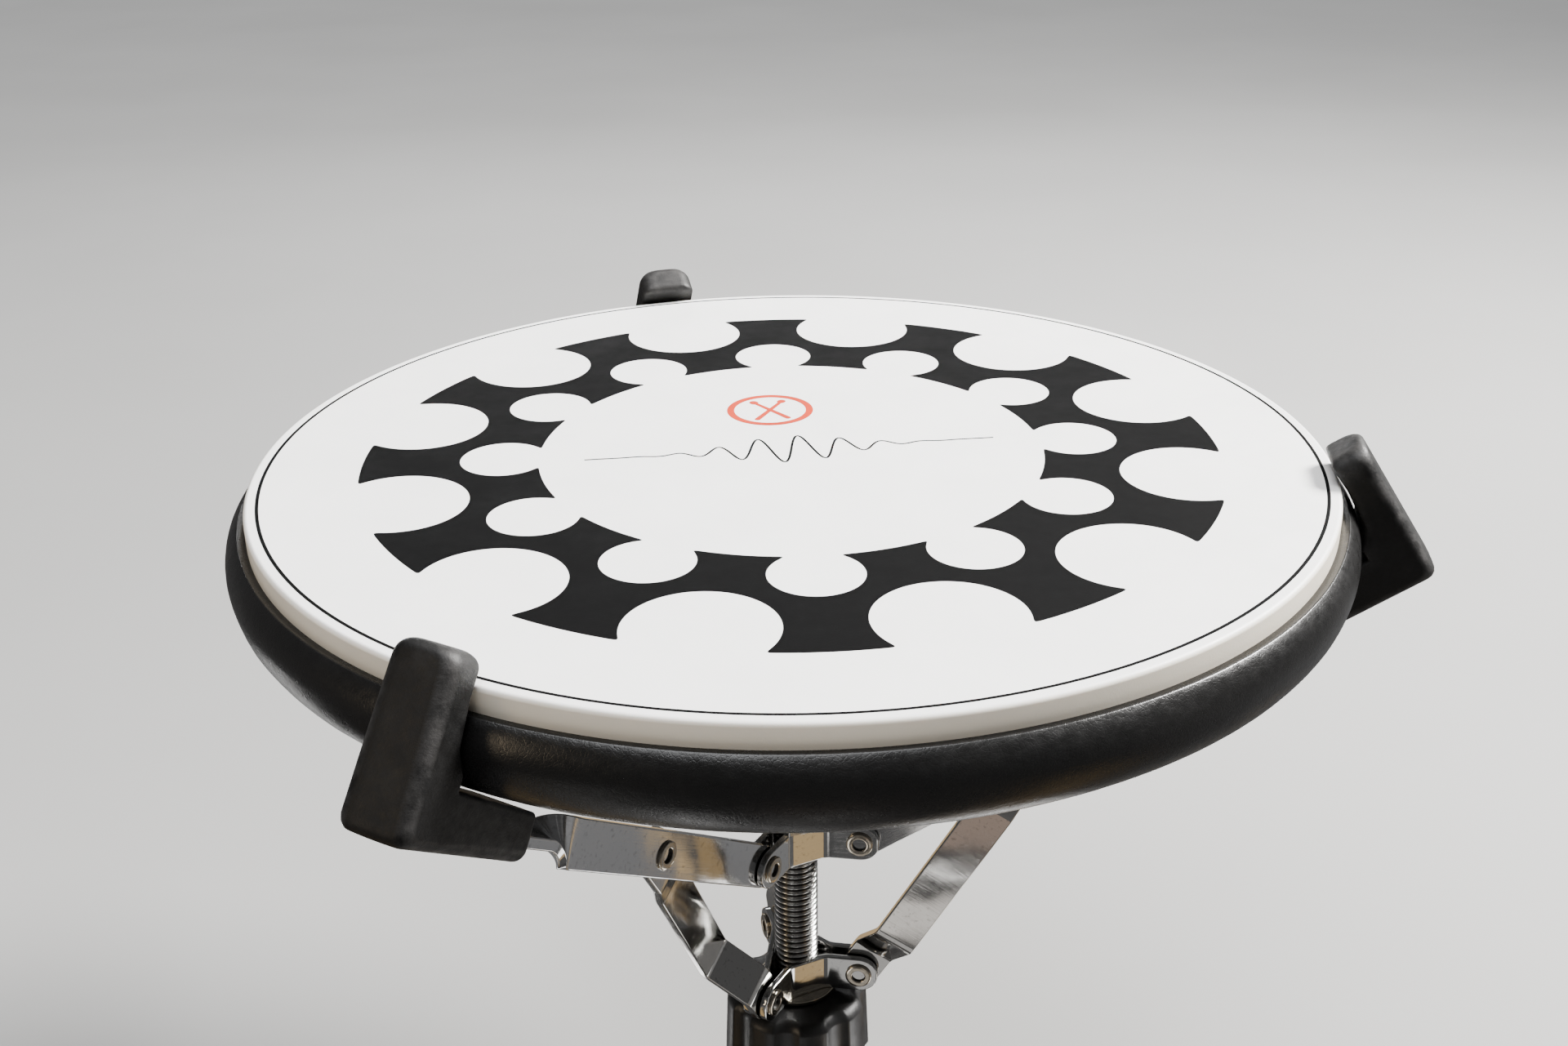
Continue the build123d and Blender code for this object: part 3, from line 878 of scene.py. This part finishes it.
def rolled_head(radius, base, outward):
    """A rivet's head from its bore to its shank, as (radius, height)."""
    face = base + outward * HEAD_THICK
    return [(PIN_BORE_R, face - outward * BORE_LIP), (PIN_BORE_R + BORE_LIP, face),
            (radius - HEAD_CROWN, face),
            (radius - CROWN_INSET, face - outward * HEAD_CROWN * CROWN_SHARE),
            (radius, face - outward * HEAD_CROWN), (radius, base), (PIN_R, base)]


def bore_cup(base, outward):
    """The inside of a rivet's bore, from its bottom to its lip, which carries the painted shade of the
    hollow.
    """
    face = base + outward * HEAD_THICK
    bottom = face - outward * BORE_DEPTH
    return [(0, bottom), (PIN_BORE_R, bottom), (PIN_BORE_R, face - outward * BORE_LIP)]


def rivet(low, high, far_head_r):
    """A hollow rivet along Y, with rolled heads. Returns its steel and its bore, whose painted shade
    stands for the dark of the hollow.
    """
    steel = rolled_head(HEAD_R, high, 1) + rolled_head(far_head_r, low, -1)[::-1]
    along_y = Matrix.Rotation(-pi / 2, 3, "X")
    parts = []
    for profile in (steel, bore_cup(high, 1), bore_cup(low, -1)[::-1]):
        verts, faces = lathe(profile, RIVET_SEGMENTS)
        parts.append(([along_y @ v for v in verts], faces))
    return parts


def add_rivets(name, spots, low, high, far_head_r, body, node):
    """Rivets across an arm at (azimuth, radius, height), as one piece with two materials."""
    meshes = []
    for azimuth, radius, height in spots:
        shift = Vector((radius, 0, height))
        for verts, faces in rivet(low, high, far_head_r):
            meshes.append(turned(([v + shift for v in verts], faces), azimuth))
    piece = make_piece(name, joined(*meshes), NICKEL, body, [node])
    piece.data.materials.append(RIVET_BORE_SHADE)
    parts_per_rivet = 3
    # The bore faces take the painted shade material.
    in_bore_shade = []
    for k, (_, faces) in enumerate(meshes):
        in_bore_shade += [min(1, k % parts_per_rivet)] * len(faces)
    piece.data.polygons.foreach_set("material_index", in_bore_shade)


def rivets():
    outer = EAR_GAP / 2 + STRIP_THICK
    for level, pin_z, body in HUBS:
        spots = [(azimuth, HUB_PIN_R, pin_z) for azimuth in ARM_AZIMUTHS]
        add_rivets(f"{level}_hub_rivets", spots, -outer, outer, HEAD_R, body, f"{level}_hub_pins")
    far = LINK_SIDE - LINK_THICK / 2 - ARM_LINK_GAP
    for number, azimuth in enumerate(ARM_AZIMUTHS, 1):
        add_rivets(f"arm_rivet_{number}", [(azimuth, LINK_PIN_R, LINK_PIN_Z)], far, ARM_THICK / 2,
                   FAR_HEAD_R, f"arm_{number}", f"link_pin_{number}")


def hexagon(angle, radius, height):
    """Cuts a turned blank down to a hexagon."""
    sixth = (angle + pi / 6) % (pi / 3) - pi / 6
    flat = NUT_HALF_FLATS / cos(sixth)
    return (min(radius, flat), height)


def top_nut():
    low, high = nut_low.z, nut_high.z
    inner = THREAD_R
    face_r, corner_r = NUT_HALF_FLATS - NUT_FACE_INSET, NUT_CROWN_R + NUT_CORNER_OUT
    profile = [(inner, high - NUT_MOUTH), (inner + NUT_MOUTH, high)]
    for share in between(0, 1, 6):
        profile.append((face_r + (corner_r - face_r) * share, high - NUT_BEVEL * share))
    profile += [(corner_r, low + NUT_FOOT), (NUT_HALF_FLATS, low), (inner, low)]
    make_piece("lock_nut", lathe(profile, segments=144, closed=True, shape=hexagon), ZINC,
               "rod", ["top_nut"])


def lobed(angle, radius, height):
    """Presses the knob's flutes into a round blank that narrows towards its top."""
    pitch = TURN / KNOB_LOBES
    off = (angle + pitch / 2) % pitch - pitch / 2
    centre = KNOB_R + FLUTE_R - FLUTE_DEPTH
    edge = KNOB_R
    reach = FLUTE_R ** 2 - (centre * sin(off)) ** 2
    if reach > 0:
        edge = min(edge, centre * cos(off) - sqrt(reach))
    flute_half = atan2(FLUTE_R, centre)
    from_shoulder = (abs(off) - SHOULDER_AT * flute_half) / SHOULDER_SPREAD
    edge -= LOBE_SHOULDER * exp(-from_shoulder ** 2)
    near_top = max(0.0, 1 - (knob_high.z - height) / KNOB_TAPER_HEIGHT)
    edge -= KNOB_TAPER * near_top * near_top
    share = (radius - KNOB_BORE_R) / (KNOB_R - KNOB_BORE_R)
    return KNOB_BORE_R + share * (edge - KNOB_BORE_R), height


def adjusting_knob():
    low, high = knob_low.z, knob_high.z
    profile = rounded([
        (KNOB_BORE_R, high, 0.4), (KNOB_BORE_R, low, 0.4), (KNOB_R - KNOB_RECESS, low, 0.5),
        (KNOB_R, low, 1.6), (KNOB_R, high - KNOB_DOME, 3.2), (WASHER_R + KNOB_LAND, high, 3.0)],
        closed=True, step=radians(10))
    make_piece("lobed_knob", lathe(profile, segments=256, closed=True, shape=lobed), KNOB_PLASTIC,
               "knob", ["adjusting_knob"])


def thrust_washer():
    low, high, bore = washer_low.z, washer_high.z, THREAD_R + RUNNING_FIT
    corners = ((bore, high), (bore, low), (WASHER_R, low), (WASHER_R, high))
    profile = rounded([(*corner, WASHER_EDGE) for corner in corners], closed=True)
    make_piece("steel_washer", lathe(profile, segments=96, closed=True), NICKEL, "lower_hub",
               ["thrust_washer"])


# ---------------- arms, links and grips

def arm_mesh():
    """A strip on edge that twists flat just before its grip."""
    stations = [inset - ARM_HALF_WIDTH for inset in tip_insets(ARM_HALF_WIDTH)]
    stations += [STATION_SPACING * k for k in range(1, int(TWIST_START / STATION_SPACING))]
    stations += between(TWIST_START, TWIST_END, TWIST_STEPS)
    stations += between(TWIST_END, CLAW_HIDDEN_END, CLAW_STEPS)[1:]
    sections = []
    for along in stations:
        share = min(1.0, max(0.0, (along - TWIST_START) / (TWIST_END - TWIST_START)))
        share = share * share * (3 - 2 * share)
        angle = share * pi / 2
        thick_dir = Vector((0, cos(angle), sin(angle)))
        width_dir = Vector((0, -sin(angle), cos(angle)))
        from_tip = along + ARM_HALF_WIDTH
        half_thick = ARM_THICK / 2 - STRIP_EDGE + end_taper(from_tip, STRIP_EDGE)
        sections.append((along, Vector((along, 0, 0)), thick_dir, width_dir, half_thick,
                         end_taper(from_tip, ARM_HALF_WIDTH)))
    (verts, faces), flow = swept(sections)
    return (tilted(verts, ARM_TILT, HUB_PIN_R, UPPER_PIN_Z), faces), flow


def link_mesh():
    path = rounded([
        (-LINK_HALF_WIDTH, 0, 0), (LINK_BOW_START, 0, LINK_BEND_R),
        (LINK_BOW_OUT, -LINK_BOW, LINK_BEND_R), (LINK_BOW_BACK, -LINK_NEAR, LINK_BEND_R),
        (LINK_BOW_END, LINK_SIDE, LINK_BEND_R),
        (LINK_LENGTH + LINK_HALF_WIDTH, LINK_SIDE, 0)], step=radians(5))
    (verts, faces), flow = strip(path, LINK_THICK, LINK_HALF_WIDTH)
    return (tilted(verts, LINK_TILT, HUB_PIN_R, LOWER_PIN_Z), faces), flow


def along_line(points, marks, t):
    """The point at t on a line whose points are at the given marks."""
    for k in range(len(marks) - 1):
        if t <= marks[k + 1]:
            share = (t - marks[k]) / (marks[k + 1] - marks[k])
            return points[k].lerp(points[k + 1], share)
    return points[-1]


def grip_spine():
    """Inner and outer points of the grip's side view, in step with each other."""
    inner = [Vector(point) for point in (
        GRIP_LEG_INNER, GRIP_SEAT, (GRIP_WALL_R, GRIP_WALL_LOW), (GRIP_WALL_R, GRIP_WALL_HIGH),
        GRIP_LIP, GRIP_TIP_INNER)]
    outer = rounded([(*GRIP_LEG_OUTER, 0), (*GRIP_HEEL, GRIP_HEEL_ROUND), (*GRIP_TIP_OUTER, 0)])
    return inner, outer


def measure(points):
    lengths = lengths_along(points)
    return [x / lengths[-1] for x in lengths]


def outer_share(inner_share):
    """Where on the outer side a section ends that starts at this share of the inner side."""
    heel_in, heel_out = GRIP_HEEL_INNER_SHARE, GRIP_HEEL_OUTER_SHARE
    if inner_share <= heel_in:
        return inner_share * heel_out / heel_in
    return heel_out + (inner_share - heel_in) * (1 - heel_out) / (1 - heel_in)


def grip_section(thick, half_width):
    """Half-round outside and nearly square inside: (distance from the inner face, side, wear)."""
    inner_edge = min(GRIP_INNER_EDGE, thick * 0.3, half_width * 0.5)
    outer_edge = min(GRIP_OUTER_EDGE, thick - inner_edge - 0.3, half_width * 0.95)
    corners = [(inner_edge * (1 - cos(a)), half_width - inner_edge * (1 - sin(a)), INNER_WEAR)
               for a in between(0, pi / 2, 4)]
    corners += [(inner_edge + (thick - inner_edge - outer_edge) * share, half_width, SIDE_WEAR)
                for share in (0.25, 0.5, 0.75)]
    corners += [(thick - outer_edge * (1 - sin(a)), half_width - outer_edge * (1 - cos(a)),
                 sin(a * 2)) for a in between(0, pi / 2, 8)]
    corners += [(thick, (half_width - outer_edge) * share, BACK_WEAR)
                for share in (0.75, 0.5, 0.25)]
    points = [(x, -y, rubbed) for x, y, rubbed in corners] + corners[::-1]
    out = []
    for x, y, rubbed in points:
        deep = (x / thick) ** 2
        lift = GRIP_CROWN * deep * (0.5 - (y / half_width) ** 2)
        out.append((x + lift, y, rubbed))
    return out


def grip_mesh():
    inner, outer = grip_spine()
    inner_marks, outer_marks = measure(inner), measure(outer)
    verts, rings, wear = [], [], []
    for k in range(GRIP_ROWS + 1):
        t = 0.5 - 0.5 * cos(pi * k / GRIP_ROWS)
        start = along_line(inner, inner_marks, t)
        end = along_line(outer, outer_marks, outer_share(t))
        to_tip, to_end = (1 - t) * GRIP_LENGTH, t * GRIP_LENGTH
        half_width = GRIP_HALF_WIDTH + (GRIP_TIP_HALF_WIDTH - GRIP_HALF_WIDTH) * max(0, 2 * t - 1)
        half_width -= GRIP_TIP_CORNER - end_taper(to_tip, GRIP_TIP_CORNER)
        half_width -= GRIP_END_CORNER - end_taper(to_end, GRIP_END_CORNER)
        shrink = GRIP_TIP_ROUND - end_taper(to_tip, GRIP_TIP_ROUND)
        shrink += GRIP_END_ROUND - end_taper(to_end, GRIP_END_ROUND)
        across = end - start
        thick = across.length - 2 * shrink
        across.normalize()
        start = start + across * shrink
        tip_wear = TIP_WEAR * max(0.0, 1 - to_tip / TIP_WEAR_REACH)
        section = grip_section(thick, half_width)
        rings.append(list(range(len(verts), len(verts) + len(section))))
        for x, y, rubbed in section:
            spot = start + across * x
            verts.append(Vector((spot.x, y, spot.y + PAD_TOP)))
            wear.append((min(1.0, rubbed + tip_wear),))
    return (verts, capped(rings)), wear


def arms_links_and_grips():
    arm, arm_flow = arm_mesh()
    link, link_flow = link_mesh()
    grip, wear = grip_mesh()
    for number, azimuth in enumerate(ARM_AZIMUTHS, 1):
        make_piece(f"chromed_arm_{number}", turned(arm, azimuth), ARM_CHROME, f"arm_{number}",
                   [f"arm_{number}"], {"flow": arm_flow})
        make_piece(f"bowed_link_{number}", turned(link, azimuth), LINK_CHROME, f"link_{number}",
                   [f"link_{number}"], {"flow": link_flow})
        make_piece(f"rubber_grip_{number}", turned(grip, azimuth), GRIP_RUBBER, f"arm_{number}",
                   [f"grip_{number}"], {"wear": wear}, weighted=False)


def repaint(node, material):
    """Gives a CAD node that stays its finish."""
    mesh = frame["nodes"][node].data
    mesh.materials.clear()
    mesh.materials.append(material)


# ---------------- studio

# Strength of the grey backdrop as a light, and as the camera sees it
ROOM_LIGHT, WALL_LIGHT = 0.14, 0.6
OVERHEAD_STRENGTH, OVERHEAD_SPREAD, OVERHEAD_TURN = 4.0, radians(50), (radians(8), radians(-6), 0)
LAMP_TARGET = Vector((0, 0, 0.2))
FLOOR_HALF = 9.0

# Name, azimuth and elevation in degrees, distance and size in metres, watts, colour
SOFT_BOXES = (
    ("key", 30, 40, 1.6, (0.6, 0.45), 150, (1.0, 0.985, 0.96)),
    ("back_strip", 104, 13, 1.7, (1.2, 0.1), 5, (1.0, 1.0, 1.0)),
    ("warm_fill", -140, 12, 1.5, (0.3, 0.6), 3, (1.0, 0.80, 0.55)))

# Painted reflections: glowing fields seen only in glossy surfaces, so the chrome mirrors from below a
# dark ring with grey, gold and white fields over it.
# First and last azimuth in degrees, inner and outer radius, colour
DARK, GREY, SILVER = (0.02, 0.02, 0.022), (0.16, 0.16, 0.165), (0.55, 0.54, 0.53)
PEARL, WHITE = (1.1, 1.05, 1.0), (4.0, 3.95, 3.9)
GOLD, BROWN = (0.62, 0.42, 0.19), (0.34, 0.25, 0.20)
CARD_LIFT = 0.5
CARDS = (
    (0, 360, 20, 9000, (0.06, 0.058, 0.058)),
    (26, 56, 140, 700, GREY), (0, 20.4, 140, 700, GREY), (20.4, 22.6, 140, 400, GOLD),
    (22.6, 26, 140, 400, DARK), (26, 50, 110, 140, GOLD), (20, 60, 60, 110, DARK),
    (-38, -24, 60, 400, GOLD), (-24, 14, 55, 140, WHITE), (-105, -99, 120, 260, WHITE),
    (-98, -86, 150, 260, DARK), (-96, -70, 60, 150, SILVER), (-84, -70, 195, 236, PEARL),
    (-84, -70, 236, 260, DARK), (-84, -70, 260, 265, WHITE), (-84, -70, 265, 292, DARK),
    (-84, -70, 292, 400, BROWN), (70, 100, 60, 160, SILVER), (108, 122, 60, 500, GOLD),
    (140, 160, 60, 500, GREY), (165, 172, 60, 500, WHITE), (190, 206, 60, 500, DARK),
    (214, 226, 60, 500, GOLD), (236, 250, 60, 500, SILVER))

CAMERA_AT = (0.0680, -0.4333, 0.4065)
CAMERA_TURN = (radians(65.5833), radians(0.645), radians(8.9267))
LENS, SENSOR_WIDTH = 39.19, 36.0


def floor():
    """A large plain floor at the foot of the stem."""
    half, level = FLOOR_HALF, cad_box[0][2]
    mesh = bpy.data.meshes.new("studio_floor")
    mesh.from_pydata([(-half, -half, level), (half, -half, level), (half, half, level),
                      (-half, half, level)], [], [(0, 1, 2, 3)])
    paint = Paint("floor_paper", (0.29, 0.288, 0.283), 0.9)
    paper = paint.noise(3, 3.0)
    paint.vary("Base Color", paper, (0.3, (0.28, 0.278, 0.273)),
               (0.7, (0.30, 0.298, 0.293)))
    mesh.materials.append(paint.material)
    placed("studio_floor", mesh)


def area_light(name, azimuth, elevation, distance, size, power, color):
    """A soft box that shines at the pad."""
    light = bpy.data.lights.new(name, "AREA")
    light.shape = "RECTANGLE"
    light.size, light.size_y = size
    light.energy = power
    light.color = color
    lamp = placed(name, light)
    a, e = radians(azimuth), radians(elevation)
    lamp.location = LAMP_TARGET + Vector((cos(e) * cos(a), cos(e) * sin(a), sin(e))) * distance
    lamp.rotation_euler = (LAMP_TARGET - lamp.location).to_track_quat("-Z", "Y").to_euler()


def painted_reflection(number, first, last, inner_r, outer_r, color):
    """A glowing piece of a ring round the foot of the stem, seen only in glossy surfaces: a painted
    reflection, not a lamp.
    """
    steps = max(2, round((last - first) / 5))
    layer = 1 if number == 0 else 2
    height = cad_box[0][2] + CARD_LIFT * MM * layer
    verts, faces = [], []
    for k in range(steps + 1):
        angle = radians(first + (last - first) * k / steps)
        for radius in (inner_r, outer_r):
            verts.append((radius * MM * cos(angle), radius * MM * sin(angle), height))
        if k:
            faces.append((2 * k - 2, 2 * k - 1, 2 * k + 1, 2 * k))
    mesh = bpy.data.meshes.new(f"card_{number}")
    mesh.from_pydata(verts, [], faces)
    paint = Paint(f"card_{number}", (0, 0, 0), 1.0)
    paint.set("Emission Color", (*color, 1))
    paint.set("Emission Strength", 1.0)
    mesh.materials.append(paint.material)
    piece = placed(f"card_{number}", mesh)
    piece.visible_camera = False
    piece.visible_diffuse = False
    piece.visible_shadow = False


def studio():
    world = bpy.data.worlds.new("studio")
    bpy.context.scene.world = world
    world.use_nodes = True
    nodes, links = world.node_tree.nodes, world.node_tree.links
    background = next(n for n in nodes if n.type == "BACKGROUND")
    background.inputs["Color"].default_value = (0.71, 0.71, 0.72, 1)
    backdrop = nodes.new("ShaderNodeMath")
    backdrop.operation = "MULTIPLY_ADD"
    backdrop.inputs[1].default_value = WALL_LIGHT - ROOM_LIGHT
    backdrop.inputs[2].default_value = ROOM_LIGHT
    links.new(nodes.new("ShaderNodeLightPath").outputs["Is Camera Ray"], backdrop.inputs[0])
    links.new(backdrop.outputs["Value"], background.inputs["Strength"])
    overhead = bpy.data.lights.new("overhead", "SUN")
    overhead.energy, overhead.angle = OVERHEAD_STRENGTH, OVERHEAD_SPREAD
    overhead.color = (0.97, 0.98, 1.0)
    placed("overhead", overhead).rotation_euler = OVERHEAD_TURN
    for box in SOFT_BOXES:
        area_light(*box)
    # Painted reflections for the chrome.
    for number, field in enumerate(CARDS):
        painted_reflection(number, *field)


def camera():
    data = bpy.data.cameras.new("camera")
    data.sensor_width = SENSOR_WIDTH
    data.lens = LENS
    data.clip_start = 0.01
    view = placed("camera", data)
    view.location = CAMERA_AT
    view.rotation_euler = CAMERA_TURN
    bpy.context.scene.camera = view


playing_surface()
base_moulding()
underside_mat()
surface_print()
threaded_rod()
thrust_washer()
top_nut()
brackets()
rivets()
adjusting_knob()
arms_links_and_grips()
repaint("core_board", FIBREBOARD)
repaint("knob_insert", ZINC)
floor()
studio()
camera()
